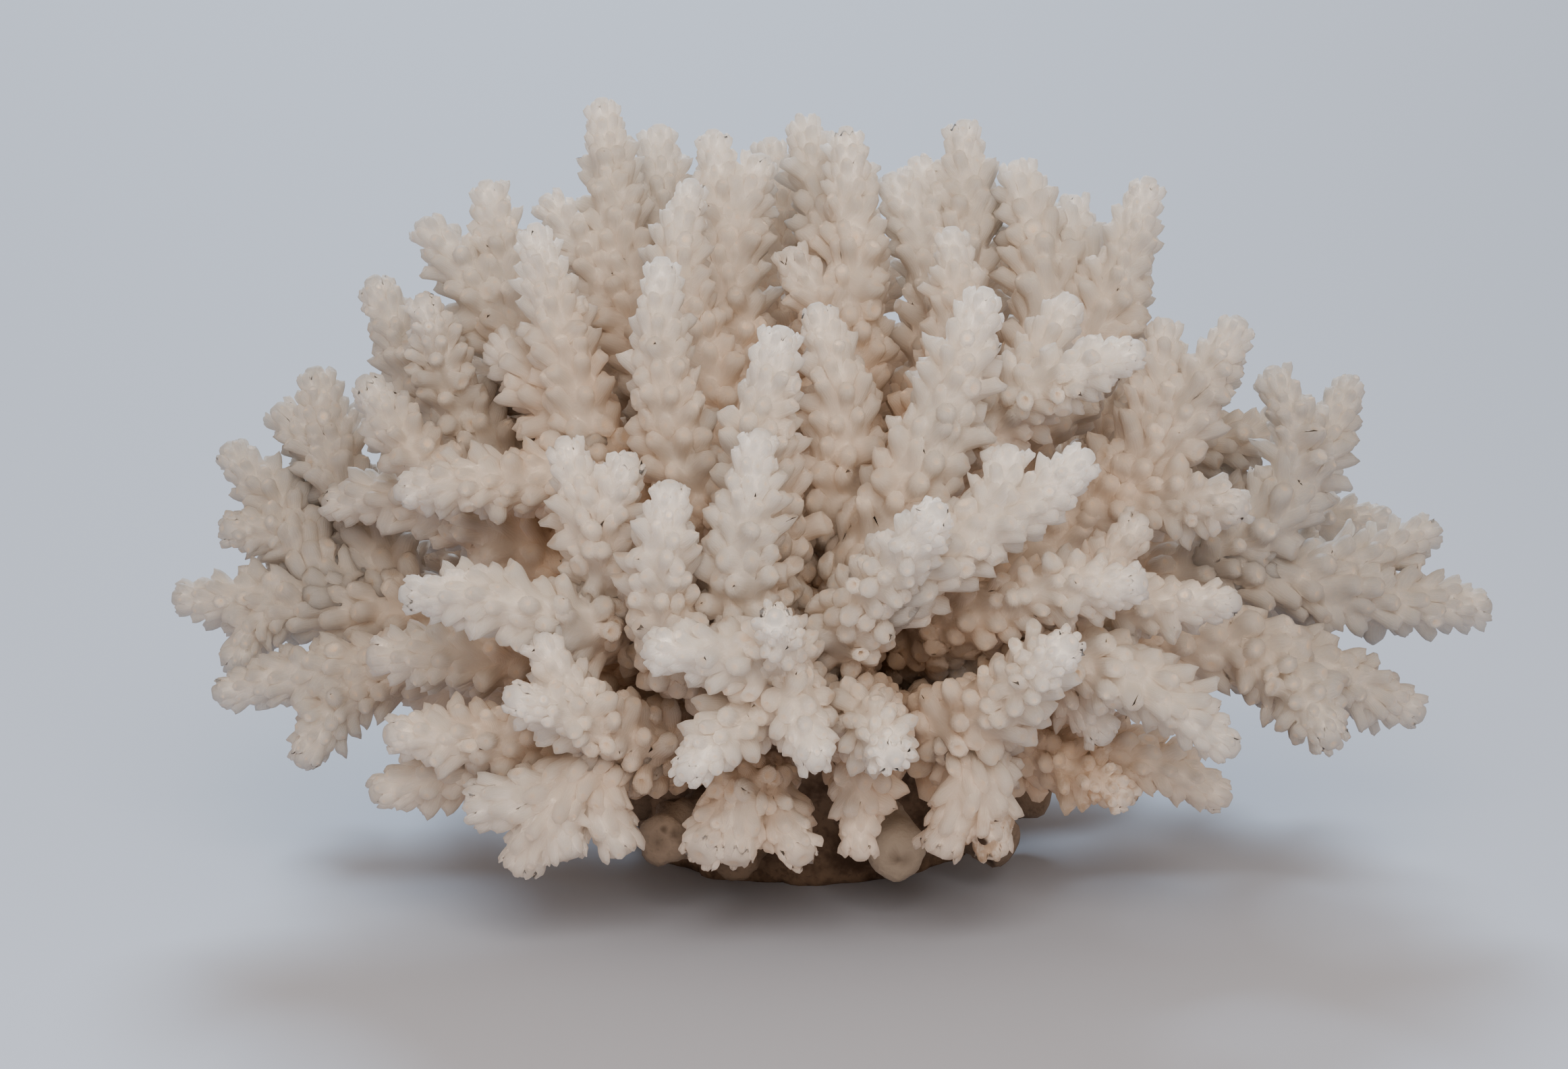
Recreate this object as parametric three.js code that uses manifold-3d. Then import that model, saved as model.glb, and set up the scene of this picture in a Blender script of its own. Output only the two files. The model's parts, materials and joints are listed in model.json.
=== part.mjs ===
// Branch coral skeleton: a bushy, dome-shaped colony of finger branches, cut off flat at its foot.
// Millimetres, +Z up, +X to the right and +Y to the back. The colony grows from a solid crown over
// the flat cut, and every branch is covered with small cups, which are coarse staggered lumps here.
import * as THREE from "three";
import Module from "manifold-3d";

const wasm = await Module();
wasm.setup();

// Driving dimensions
const GAP = 0.3; // left between two pieces that meet
const BRANCH_SIDES = 6; // lumps and hollows alternate around a branch
const TWIG_SIDES = 4;
const ROW_PITCH = 12.8; // from one row of lumps to the next
const TIP_RUN = 4.4; // from the last row to the tip
const FULL_RADIUS = 3.8; // of a branch between its lumps, where it has its full thickness
const TIP_RADIUS = 2.7; // of a branch between its lumps, at its tip
const WIDENING = 42; // how far from its tip a branch reaches its full thickness
const FULL_LUMP = 3.1; // how far a lump stands out on the full branch
const TIP_LUMP = 1.7; // the same at the tip
const LUMP_LEAN = 2.2; // how far a lump leans towards the tip
const LIMB_BARE_ROOT = 20; // from a limb's root point to its first row, which has no lumps
const FORK_BARE_ROOT = 7; // the same on a fork or twig
const ROOT_NARROWING = [0.4, 0.75]; // of the first two rings, where a branch is crowded
const FORK_RUN = 0.35; // share of a side branch that still follows its parent's direction
const FRAME_STEPS = 120; // places along a branch where its direction is worked out

const UP = new THREE.Vector3(0, 0, 1);

const CROWN_CENTRE = [-4, 0];
const CROWN_SIDES = 12;
const CROWN_DEPTH_SHARE = 0.92; // the crown's depth against its width
const CROWN_LUMP = 2;
const CROWN_TOP = 51;
const CROWN_PROFILE = [
  // height, radius
  [0, 26],
  [6, 28],
  [17, 28],
  [29, 29],
  [40, 23],
];

const STUB_RADIUS = 4.8;
const STUB_NARROWING = 0.85; // of its end
const STUB_DOME = 1.6; // how far its end bulges
const STUB_ROOT_HEIGHT = 15;
const STUB_ENDS = [
  // x, y, z of the middle of each blunt stub's end, low on the crown
  [-26, -43, 11],
  [-15, -33, 7],
  [10, -42, 10],
  [26, -27, 8],
  [34, -2, 9],
  [22, 27, 8],
  [-8, 35, 9],
  [-36, 17, 9],
  [-39, -12, 10],
];

const BONE_WHITE = { color: 0xd9cfc2, roughness: 0.85, metalness: 0 };
const OLD_FOOT = { color: 0x9c8168, roughness: 0.95, metalness: 0 };

// The branches. Each path runs to its tip. A limb starts at its root point inside the crown, and a
// forked branch starts on the middle line of its parent, at a share of that line's length. A twig is
// [share along its own branch, tip x, y, z] and is fused to the branch.
const LIMBS = [
  {
    name: "front_knob",
    root: [-7, -16, 30],
    path: [[-8, -46, 36], [-8, -64, 46], [-9, -78, 56]],
    twigs: [[0.66, -27, -73, 50], [0.5, -22, -78, 33], [0.62, -3, -77, 34]],
  },
  {
    name: "front_stem",
    root: [-1, -12, 30],
    path: [[2, -54, 48], [8, -67, 60], [14, -76, 71]],
  },
  {
    name: "front_spear",
    root: [0, -8, 34],
    path: [[4, -38, 53], [11, -44, 67], [17, -45, 82], [22, -44, 97]],
  },
  {
    name: "front_tall",
    root: [-7, -12, 34],
    path: [[-14, -55, 54], [-13, -60, 67], [-11, -61, 79]],
  },
  {
    name: "upper_front",
    root: [-5, -9, 38],
    path: [[-11, -45, 62], [-11, -49, 77], [-8, -49, 92]],
  },
  {
    name: "left_front_short",
    root: [-11, -11, 30],
    path: [[-24, -55, 47], [-25, -62, 60], [-24, -64, 72]],
  },
  {
    name: "left_front_tall",
    root: [-12, -8, 32],
    path: [[-32, -43, 50], [-36, -50, 63], [-40, -51, 76]],
    twigs: [[0.7, -30, -54, 74]],
  },
  {
    name: "low_left_paddle",
    root: [-11, -9, 22],
    path: [[-29, -46, 29], [-39, -60, 37], [-47, -68, 42]],
    twigs: [[0.72, -43, -60, 49]],
  },
  {
    name: "low_front_fan",
    root: [-7, -10, 18],
    path: [[-12, -44, 24], [-14, -57, 22], [-15, -62, 15.5]],
    twigs: [[0.55, -5, -62, 16], [0.6, -20, -62, 16.5]],
  },
  {
    name: "front_bud",
    root: [-1, -10, 22],
    path: [[3, -48, 33], [5, -66, 37], [8, -81, 36]],
    twigs: [[0.5, 3.5, -62, 16]],
  },
  {
    name: "right_front_paddle",
    root: [4, -8, 22],
    path: [[17, -49, 32], [26, -62, 41], [33, -73, 51]],
  },
  {
    name: "right_front_wing",
    root: [6, -8, 26],
    path: [[30, -42, 42], [44, -57, 41], [58, -62, 32]],
    twigs: [[0.5, 40, -52, 31]],
  },
  {
    name: "low_right_spray",
    root: [6, -6, 18],
    path: [[30, -32, 25], [48, -43, 25], [59, -46, 20]],
    twigs: [[0.42, 43.5, -50, 21.5]],
  },
  {
    name: "right_low",
    root: [8, -3, 24],
    path: [[40, -16, 36], [62, -22, 38], [77, -24, 34], [91, -26, 28]],
    twigs: [[0.64, 75, -42, 28]],
  },
  {
    name: "right_long",
    root: [8, 0, 27],
    path: [[42, -5, 42], [66, -9, 47], [87, -10, 42.5], [104, -8, 41]],
    twigs: [[0.66, 96, -3, 53]],
  },
  {
    name: "right_near",
    root: [5, -8, 30],
    path: [[18, -40, 46], [32, -54, 54], [44, -62, 57]],
  },
  {
    name: "right_side_near",
    root: [7, -6, 29],
    path: [[25, -29, 44], [44, -46, 50], [59, -52, 52]],
    twigs: [[0.55, 46, -40, 62]],
  },
  {
    name: "right_rise",
    root: [6, -4, 33],
    path: [[36, -15, 54], [50, -19, 68], [62, -21, 89]],
    twigs: [[0.6, 51, -15, 88], [0.5, 62, -32, 62]],
  },
  {
    name: "right_hook",
    root: [3, -7, 36],
    path: [[17, -25, 66], [27, -33, 78], [36, -39, 84], [45, -42, 88]],
    twigs: [[0.62, 36, -26, 93]],
  },
  {
    name: "top_right_broad",
    root: [4, -1, 36],
    path: [[24, -5, 60], [40, -8, 82], [49, -8, 109]],
    twigs: [[0.45, 29, 5, 110], [0.6, 44, -18, 82], [0.55, 38, 8, 104]],
  },
  {
    name: "top_front_right",
    root: [0, -5, 38],
    path: [[15, -14, 69], [19, -17, 89], [18, -14, 102]],
  },
  {
    name: "top_right",
    root: [2, 3, 37],
    path: [[15, 4, 68], [21, 5, 96], [21, 10, 116]],
    twigs: [[0.66, 13, 10, 110], [0.5, 9, 6, 108]],
  },
  {
    name: "top_middle",
    root: [-3, -2, 38],
    path: [[2, -4, 72], [3, -5, 98], [2, 0, 116]],
    twigs: [[0.5, -5, 13, 116], [0.42, -7, -9, 98]],
  },
  {
    name: "top_left",
    root: [-7, 1, 38],
    path: [[-13, 0, 68], [-17, 0, 94], [-19, 5, 115]],
    twigs: [[0.66, -11, 5, 111]],
  },
  {
    name: "top_back_left",
    root: [-7, 5, 36],
    path: [[-20, 14, 70], [-27, 18, 98], [-28, 22, 114]],
  },
  {
    name: "top_left_high",
    root: [-10, 3, 36],
    path: [[-24, 5, 66], [-33, 9, 92], [-37, 15, 119]],
    twigs: [[0.5, -46, 10, 104]],
  },
  {
    name: "top_front_left",
    root: [-8, -4, 38],
    path: [[-18, -15, 74], [-24, -16, 94], [-22, -11, 109]],
  },
  {
    name: "upper_left_front",
    root: [-8, -7, 36],
    path: [[-22, -31, 66], [-26, -35, 84], [-26, -33, 100]],
  },
  {
    name: "upper_middle",
    root: [-4, -6, 40],
    path: [[0, -31, 62], [1, -34, 78], [-3, -33, 93]],
  },
  {
    name: "left_high",
    root: [-12, 2, 33],
    path: [[-36, 3, 60], [-49, 4, 82], [-55, 5, 107]],
    twigs: [[0.6, -65, 3, 101]],
  },
  {
    name: "left_high_front",
    root: [-12, -5, 33],
    path: [[-34, -17, 62], [-42, -18, 86], [-46, -17, 103]],
    twigs: [[0.5, -53, -10, 84]],
  },
  {
    name: "left_rise",
    root: [-13, 1, 29],
    path: [[-44, 3, 52], [-62, 3, 70], [-73, 2, 92]],
    twigs: [[0.5, -64, -11, 91]],
  },
  {
    name: "left_rise_low",
    root: [-13, -4, 28],
    path: [[-44, -12, 48], [-64, -15, 66], [-73, -16, 79]],
    twigs: [[0.6, -80, -8, 58]],
  },
  {
    name: "left_long",
    root: [-14, 0, 25],
    path: [[-48, -3, 37], [-80, -8, 41], [-104, -10, 43]],
    twigs: [[0.8, -94, -17, 33]],
  },
  {
    name: "left_low",
    root: [-13, -5, 22],
    path: [[-48, -18, 32], [-75, -21, 34], [-96, -24, 31]],
    twigs: [[0.66, -82, -32, 22]],
  },
  {
    name: "left_front_scaly",
    root: [-12, -8, 27],
    path: [[-34, -27, 35], [-54, -38, 40], [-70, -41, 41]],
  },
  {
    name: "left_front_low",
    root: [-11, -8, 20],
    path: [[-36, -36, 26], [-54, -51, 31], [-66, -56, 33]],
    twigs: [[0.5, -69, -50, 22]],
  },
  {
    name: "back_low_right",
    root: [5, 6, 24],
    path: [[40, 26, 30], [66, 38, 32], [82, 44, 27]],
    twigs: [[0.5, 78, 24, 34], [0.55, 62, 56, 26], [0.62, 90, 32, 45]],
  },
  {
    name: "back_low_mid_right",
    root: [2, 9, 22],
    path: [[22, 46, 29], [38, 64, 31], [48, 74, 26]],
    twigs: [[0.5, 28, 74, 24], [0.55, 56, 66, 42], [0.4, 32, 52, 13], [0.42, 19, 48, 47]],
  },
  {
    name: "back_low_middle",
    root: [-3, 10, 22],
    path: [[-2, 44, 30], [0, 66, 32], [3, 82, 28]],
    twigs: [[0.5, -16, 74, 24], [0.5, 13, 77, 45], [0.4, 2, 58, 13], [0.4, 7, 50, 51]],
  },
  {
    name: "back_low_mid_left",
    root: [-9, 9, 22],
    path: [[-26, 44, 30], [-38, 62, 33], [-46, 72, 30]],
    twigs: [[0.5, -30, 76, 26], [0.55, -56, 62, 44]],
  },
  {
    name: "back_low_left",
    root: [-13, 6, 23],
    path: [[-44, 26, 32], [-68, 38, 34], [-84, 42, 30]],
    twigs: [[0.5, -64, 54, 25], [0.5, -86, 22, 26], [0.6, -80, 46, 46]],
  },
  {
    name: "back_right_long",
    root: [8, 3, 27],
    path: [[42, 12, 40], [68, 17, 48], [92, 16, 50]],
    twigs: [[0.5, 66, 8, 27], [0.6, 84, 28, 56]],
  },
  {
    name: "back_rise_right",
    root: [6, 4, 30],
    path: [[34, 20, 50], [54, 30, 62], [68, 34, 76]],
    twigs: [[0.55, 80, 20, 64], [0.55, 60, 46, 62], [0.5, 52, 22, 76]],
  },
  {
    name: "back_rise_mid_right",
    root: [2, 8, 31],
    path: [[16, 36, 50], [28, 52, 62], [34, 60, 74]],
    twigs: [[0.5, 44, 58, 56], [0.5, 16, 64, 64]],
  },
  {
    name: "back_rise_middle",
    root: [-5, 9, 31],
    path: [[-8, 38, 52], [-10, 54, 66], [-10, 62, 80]],
    twigs: [[0.5, -2, 72, 58], [0.6, -24, 60, 76], [0.6, 5, 60, 82]],
  },
  {
    name: "back_rise_mid_left",
    root: [-10, 7, 30],
    path: [[-28, 32, 48], [-40, 46, 62], [-46, 52, 74]],
    twigs: [[0.5, -30, 60, 62], [0.5, -58, 50, 56]],
  },
  {
    name: "back_rise_left",
    root: [-13, 4, 28],
    path: [[-46, 19, 46], [-66, 26, 58], [-80, 30, 66]],
    twigs: [[0.5, -62, 40, 66], [0.5, -88, 22, 50]],
  },
  {
    name: "back_high_right",
    root: [2, 5, 36],
    path: [[18, 22, 64], [28, 30, 84], [34, 34, 101]],
    twigs: [[0.5, 46, 22, 92], [0.5, 22, 46, 88]],
  },
  {
    name: "back_high_middle",
    root: [-4, 6, 38],
    path: [[-6, 22, 68], [-8, 28, 92], [-10, 31, 111]],
    twigs: [[0.5, 6, 32, 106], [0.45, -8, 48, 94], [0.3, 7, 27, 84]],
  },
  {
    name: "back_high_left",
    root: [-9, 6, 34],
    path: [[-28, 22, 62], [-40, 30, 80], [-46, 33, 97]],
    twigs: [[0.5, -30, 40, 92], [0.55, -60, 26, 86]],
  },
];

const FORKS = [
  {
    name: "front_right_arm",
    parent: "front_stem",
    at: 0.62,
    path: [[18, -60, 63], [29, -60, 69], [36, -62, 76]],
    twigs: [[0.5, 25, -57, 76]],
  },
  {
    name: "left_front_reach",
    parent: "left_front_tall",
    at: 0.42,
    path: [[-41, -52, 49], [-52, -58, 54], [-63, -60, 55]],
  },
  {
    name: "low_left_fan",
    parent: "low_left_paddle",
    at: 0.5,
    path: [[-38, -55, 26], [-43, -58, 20], [-47, -58, 13]],
    twigs: [[0.35, -31.5, -56, 15], [0.5, -54, -56, 22], [0.6, -39.5, -60, 15.5]],
  },
  {
    name: "low_right_fan",
    parent: "right_front_paddle",
    at: 0.52,
    path: [[21, -57, 27], [23.5, -57, 15]],
    twigs: [[0.3, 15, -60, 16]],
  },
  {
    name: "right_fork_high",
    parent: "right_long",
    at: 0.5,
    path: [[70, -12, 58], [77, -8, 68], [82, -4, 77]],
    twigs: [[0.5, 68, -13, 80]],
  },
  {
    name: "left_fork_high",
    parent: "left_long",
    at: 0.56,
    path: [[-74, 1, 50], [-80, 4, 64], [-83, 5, 77]],
    twigs: [[0.5, -89, 4, 71]],
  },
  {
    name: "left_fork_low",
    parent: "left_long",
    at: 0.68,
    path: [[-86, 0, 52], [-97, 2, 65]],
    twigs: [[0.35, -96, -9, 54]],
  },
  {
    name: "left_cross",
    parent: "left_high_front",
    at: 0.5,
    path: [[-44, -27, 65], [-55, -33, 66], [-66, -35, 65]],
  },
];

function lineThrough(points) {
  const line = new THREE.CatmullRomCurve3(points, false, "centripetal");
  line.arcLengthDivisions = 60;
  return line;
}

// The middle line of a side branch: it leaves its parent's line leaning the parent's way.
function sideLine(parentLine, at, points) {
  const start = parentLine.getPointAt(at);
  const reach = points[0].clone().sub(start);
  const lead = parentLine.getTangentAt(at).multiplyScalar(reach.length());
  const bend = start.clone().addScaledVector(reach, FORK_RUN).addScaledVector(lead, FORK_RUN / 2);
  return lineThrough([start, bend, ...points]);
}

function joinRings(rings, rootCentre, tip) {
  const sides = rings[0].length;
  const positions = [...rings.flat(), rootCentre, tip].flatMap((p) => [p.x, p.y, p.z]);
  const rootIndex = rings.length * sides;
  const tipIndex = rootIndex + 1;
  const last = (rings.length - 1) * sides;
  const index = [];
  for (let side = 0; side < sides; side += 1) {
    const next = (side + 1) % sides;
    index.push(rootIndex, next, side);
    index.push(last + side, last + next, tipIndex);
    for (let ring = 0; ring < rings.length - 1; ring += 1) {
      const low = ring * sides;
      const high = low + sides;
      index.push(low + side, low + next, high + side);
      index.push(low + next, high + next, high + side);
    }
  }
  return new wasm.Manifold(
    new wasm.Mesh({
      numProp: 3,
      vertProperties: new Float32Array(positions),
      triVerts: new Uint32Array(index),
    }),
  );
}

// A closed tube along a line, bare at its root, with staggered lumps that lean towards its tip.
function lumpyTube(line, sides, bareRoot, extra) {
  const length = line.getLength();
  const lumpy = length - bareRoot - TIP_RUN;
  const steps = Math.max(1, Math.round(lumpy / ROW_PITCH));
  const shares = [0];
  for (let row = 0; row <= steps; row += 1) {
    shares.push((bareRoot + (lumpy * row) / steps) / length);
  }
  const frames = line.computeFrenetFrames(FRAME_STEPS, false);
  const rings = shares.map((share, ring) => {
    const step = Math.round(share * FRAME_STEPS);
    const centre = line.getPointAt(share);
    const narrow = ROOT_NARROWING[ring] ?? 1;
    const widened = Math.min(1, (length * (1 - share)) / WIDENING);
    const radius = narrow * THREE.MathUtils.lerp(TIP_RADIUS, FULL_RADIUS, widened) + extra;
    const lump = THREE.MathUtils.lerp(TIP_LUMP, FULL_LUMP, widened);
    const points = [];
    for (let side = 0; side < sides; side += 1) {
      const angle = (2 * Math.PI * side) / sides;
      const raised = ring > 1 && (ring + side) % 2 === 0 ? 1 : 0;
      const out = frames.normals[step].clone().multiplyScalar(Math.cos(angle));
      out.addScaledVector(frames.binormals[step], Math.sin(angle));
      const point = centre.clone().addScaledVector(out, radius + raised * lump);
      points.push(point.addScaledVector(frames.tangents[step], raised * LUMP_LEAN));
    }
    return points;
  });
  const tip = line.getPointAt(1).addScaledVector(frames.tangents[FRAME_STEPS], extra);
  return joinRings(rings, line.getPointAt(0), tip);
}

// A blunt stub of a branch on the crown's side.
function stubSolid([x, y, z], extra) {
  const root = new THREE.Vector3(CROWN_CENTRE[0], CROWN_CENTRE[1], STUB_ROOT_HEIGHT);
  const end = new THREE.Vector3(x, y, z);
  const along = end.clone().sub(root).normalize();
  const across = along.clone().cross(UP).normalize();
  const upward = across.clone().cross(along);
  const ring = (centre, radius) =>
    Array.from({ length: BRANCH_SIDES }, (_, side) => {
      const angle = (2 * Math.PI * side) / BRANCH_SIDES;
      const point = centre.clone().addScaledVector(across, Math.cos(angle) * radius);
      return point.addScaledVector(upward, -Math.sin(angle) * radius);
    });
  const rings = [ring(root, STUB_RADIUS + extra), ring(end, STUB_RADIUS * STUB_NARROWING + extra)];
  return joinRings(rings, root, end.clone().addScaledVector(along, STUB_DOME + extra));
}

// The crown: a lumpy dome over the flat cut, with the stubs.
function crownSolid(extra) {
  const centre = new THREE.Vector3(CROWN_CENTRE[0], CROWN_CENTRE[1], 0);
  const rings = CROWN_PROFILE.map(([height, radius], ring) => {
    const points = [];
    for (let side = 0; side < CROWN_SIDES; side += 1) {
      const angle = (2 * Math.PI * side) / CROWN_SIDES;
      const lump = (ring + side) % 2 === 0 ? CROWN_LUMP : 0;
      const x = Math.cos(angle) * (radius + lump + extra);
      const y = Math.sin(angle) * (radius + lump + extra) * CROWN_DEPTH_SHARE;
      points.push(centre.clone().add(new THREE.Vector3(x, y, height)));
    }
    return points;
  });
  const top = centre.clone().setZ(CROWN_TOP + extra);
  const stubs = STUB_ENDS.map((end) => stubSolid(end, extra));
  return stubs.reduce((crown, stub) => crown.add(stub), joinRings(rings, centre, top));
}

// A branch with its twigs, made larger by extra on all sides.
function branchSolid(line, twigs, bareRoot, extra) {
  let solid = lumpyTube(line, BRANCH_SIDES, bareRoot, extra);
  for (const [at, x, y, z] of twigs) {
    const twigLine = sideLine(line, at, [new THREE.Vector3(x, y, z)]);
    solid = solid.add(lumpyTube(twigLine, TWIG_SIDES, FORK_BARE_ROOT, extra));
  }
  return solid;
}

function touches(one, other) {
  const a = one.boundingBox();
  const b = other.boundingBox();
  return [0, 1, 2].every((axis) => a.min[axis] < b.max[axis] && b.min[axis] < a.max[axis]);
}

function meshOf(name, solid, look) {
  const { vertProperties, triVerts } = solid.getMesh();
  const geometry = new THREE.BufferGeometry();
  geometry.setAttribute("position", new THREE.BufferAttribute(vertProperties, 3));
  geometry.setIndex(new THREE.BufferAttribute(triVerts, 1));
  geometry.computeVertexNormals();
  const mesh = new THREE.Mesh(geometry, new THREE.MeshStandardMaterial(look));
  mesh.name = name;
  return mesh;
}

const coral = new THREE.Group();
const lines = {};
const grown = []; // every finished piece, larger by the gap, to cut the ones that meet it

function grow(name, look, makeSolid) {
  let solid = makeSolid(0);
  for (const neighbour of grown) {
    if (touches(solid, neighbour)) {
      solid = solid.subtract(neighbour);
    }
  }
  grown.push(makeSolid(GAP));
  coral.add(meshOf(name, solid, look));
}

grow("crown", OLD_FOOT, crownSolid);

for (const { name, root, path, twigs = [] } of LIMBS) {
  const points = [root, ...path].map((p) => new THREE.Vector3(...p));
  lines[name] = lineThrough(points);
  grow(name, BONE_WHITE, (extra) => branchSolid(lines[name], twigs, LIMB_BARE_ROOT, extra));
}

for (const { name, parent, at, path, twigs = [] } of FORKS) {
  const points = path.map((p) => new THREE.Vector3(...p));
  lines[name] = sideLine(lines[parent], at, points);
  grow(name, BONE_WHITE, (extra) => branchSolid(lines[name], twigs, FORK_BARE_ROOT, extra));
}

// The origin is the middle of the flat cut's level, under the middle of the colony.
const box = new THREE.Box3().setFromObject(coral);
const middle = box.getCenter(new THREE.Vector3());
coral.position.set(-middle.x, -middle.y, -box.min.z);

export default coral;
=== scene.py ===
"""Branch coral skeleton: the looks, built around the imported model.

Blender's own units are metres. The branches are worked out in millimetres, +Z up, +X to the right
and +Y to the back, and every finished mesh is scaled once by MM.
"""
import json
import math

import bpy
import numpy as np
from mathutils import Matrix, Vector, noise

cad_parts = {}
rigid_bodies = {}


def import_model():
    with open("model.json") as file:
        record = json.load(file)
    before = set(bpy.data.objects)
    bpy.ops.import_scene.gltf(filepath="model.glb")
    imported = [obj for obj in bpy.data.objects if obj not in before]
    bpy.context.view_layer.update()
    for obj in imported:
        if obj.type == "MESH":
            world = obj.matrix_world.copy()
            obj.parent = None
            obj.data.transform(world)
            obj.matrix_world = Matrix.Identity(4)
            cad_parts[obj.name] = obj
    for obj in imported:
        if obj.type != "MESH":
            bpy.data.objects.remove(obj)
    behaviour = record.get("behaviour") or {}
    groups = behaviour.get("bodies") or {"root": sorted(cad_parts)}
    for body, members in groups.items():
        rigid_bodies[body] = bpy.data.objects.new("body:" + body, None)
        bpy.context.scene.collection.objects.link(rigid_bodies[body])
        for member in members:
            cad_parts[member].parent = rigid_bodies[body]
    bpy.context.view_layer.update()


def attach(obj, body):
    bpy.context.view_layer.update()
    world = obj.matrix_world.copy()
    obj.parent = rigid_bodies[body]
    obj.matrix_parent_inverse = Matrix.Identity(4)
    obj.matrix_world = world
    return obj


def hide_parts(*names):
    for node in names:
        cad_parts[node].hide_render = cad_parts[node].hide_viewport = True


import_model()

MM = 0.001
SHIFT = (0.0, -0.5, 0.0)  # from the branches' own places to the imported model's frame

# Camera, in millimetres
VIEW_ELEVATION = math.radians(12)
VIEW_DISTANCE = 620
VIEW_TARGET = (-7.7, 0.0, 51.1)
LENS_MM = 88.85

# Branches under their cups
FULL_RADIUS = 4.5
TIP_RADIUS = 1.35
WIDENING = 34.0  # how far from its tip a branch reaches its full thickness
WIDENING_POWER = 0.7
STOUTNESS = (0.92, 1.08)  # from one branch to another
SWELLING = 0.08  # uneven thickness within a branch
SLOW_WAVE = 0.13
FAST_WAVE = 0.31
LIMB_BARE_ROOT = 16.0
FORK_BARE_ROOT = 4.0
ROOT_NARROWING = 0.4
FORK_RUN = 0.35

# Cups: blunt lobes that lean towards the branch's tip, on a honeycomb of cells round the branch
CUPS_AROUND = 9
TWIG_CUPS_AROUND = 8
CUP_REACH = 0.88  # in widths of a cup
VALLEY_FILL = 0.45  # how far the skin between cups stands above the branch
CUP_MIDDLE = 1.7  # the height at which a cup's width is measured
ROW_PITCH = 1.05  # in widths of a cup
CUP_LEAN = math.radians(33)  # from straight out
TIP_LEAN = math.radians(12)  # more of it at a branch's tip
AXIAL_RADIUS = 1.5
AXIAL_LENGTH = 2.2
BLUNT_TIP = 1.7  # a blunt branch's tip against a common one
BLUNT_REACH = 0.85
BLUNT_LEAN = math.radians(12)

# Light and floor, in metres
DAYLIGHT_FROM = (-0.06, 1.0, 0.72)
DAYLIGHT_STRENGTH = 3.5
DAYLIGHT_SPREAD = math.radians(18)
DAYLIGHT_COLOUR = (0.62, 0.8, 1.0)
ROOM_STRENGTH = 0.58
ROOM_COLOUR = (1.0, 0.84, 0.71, 1)
FILL_FROM = (0.03, -0.46, 0.36)
FILL_SIZE = 0.4
FILL_POWER = 2.1
FILL_COLOUR = (1.0, 0.93, 0.86)
LIGHTS_AIM = (0.0, 0.0, 0.05)
FLOOR_REACH = 6.0
FLOOR_COLOUR = (0.5, 0.525, 0.6, 1)

# Unevenness of the cups
CORNER_SHIFT = (0.35, 0.8)  # in quarters of a cell's width and sixths of a row
MIDDLE_SHIFT = (0.6, 1.2)
SKIN_SHIFT = 0.35
SIZE_SPREAD = 0.25
SIZE_RANGE = (0.4, 1.4)
LEAN_SPREAD = 0.16  # in radians
SWAY_SPREAD = 0.2
TUBULAR_SHARE = 0.07  # cups that stand up as little tubes
TUBULAR_WIDTH = 0.8  # against a common cup's
TUBULAR_REACH = 1.25
FACING_SHARE = 0.07  # cups that open straight out
FACING_REACH = 0.8
FACING_LEAN = 0.2  # in radians
OPENING = (0.2, 0.3)  # in shares of a cell
RING_OPENING = 0.4  # of a tubular or a facing cup, which are both ringlike
SHOULDER = 0.6  # how wide a cup still is near its top, in shares of a cell
RING_SHOULDER = 0.72
CUP_FLOOR = 0.86  # how high a cup's floor lies, in shares of its reach
RING_FLOOR = 0.3
SLANT = (0.1, 0.3)  # how much lower a cup's rim is towards the tip, in shares of its reach
SLANT_RISE = 4.5  # how far a slanting cup's mouth lies towards the tip, in sixths of a row
YOUNG_REACH = 14.0  # how far from its tip a branch is white and its cups lie evenly
SHORT_CUPS_REACH = 9.0  # how far from the tip the cups are short and lean more
LONG_CUPS_REACH = 70.0  # over this length from the tip the cups shorten towards the root
LOW_CUPS = 0.58  # how long the cups are beyond that, against those near the tip
HIGH_CUPS_GAIN = 0.42
TIP_CUPS_LOSS = 0.35  # how much shorter the cups at the very tip are
ROOT_RISE = 16.0  # over this length the cups near a limb's root come to their full length
ROOT_HEAD_START = 0.35  # the share of that rise that its first cups have behind them
ROOT_CUPS = 0.5  # the share of its full length that a cup has where the rise starts
ROOT_CUPS_GAIN = 0.5

LINE_STEP = 0.5
SPLINE_STEPS = 60

# Crown, as in the construction, but that the first stub ends 2 mm higher
CROWN_CENTRE = (-4.0, 0.0)
CROWN_DEPTH_SHARE = 0.92
CROWN_PROFILE = [
    # height, radius
    (0, 26),
    (6, 28),
    (17, 28),
    (29, 29),
    (40, 23),
    (51, 1),
]
CROWN_RINGS = 64
CROWN_AROUND = 120
LUMP_SIZE = 9.0
LUMP_HEIGHT = 1.9
GRAIN_SIZE = 2.4
GRAIN_HEIGHT = 0.45
PIT_SPACING = 7.0
PIT_DEPTH = 1.5
PIT_REACH = 0.3  # in pit spacings
PIT_EDGE = 0.16
STUB_RADIUS = 4.8
STUB_AROUND = 28
STUB_RINGS = 18
STUB_START = 0.4  # inside the crown, as a share of the stub's line
STUB_LOWEST = 0.3
STUB_NARROWING = 0.85
STUB_KNOBS = 0.3
KNOB_SIZE = 4.0
STUB_ROOT_HEIGHT = 15
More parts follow.
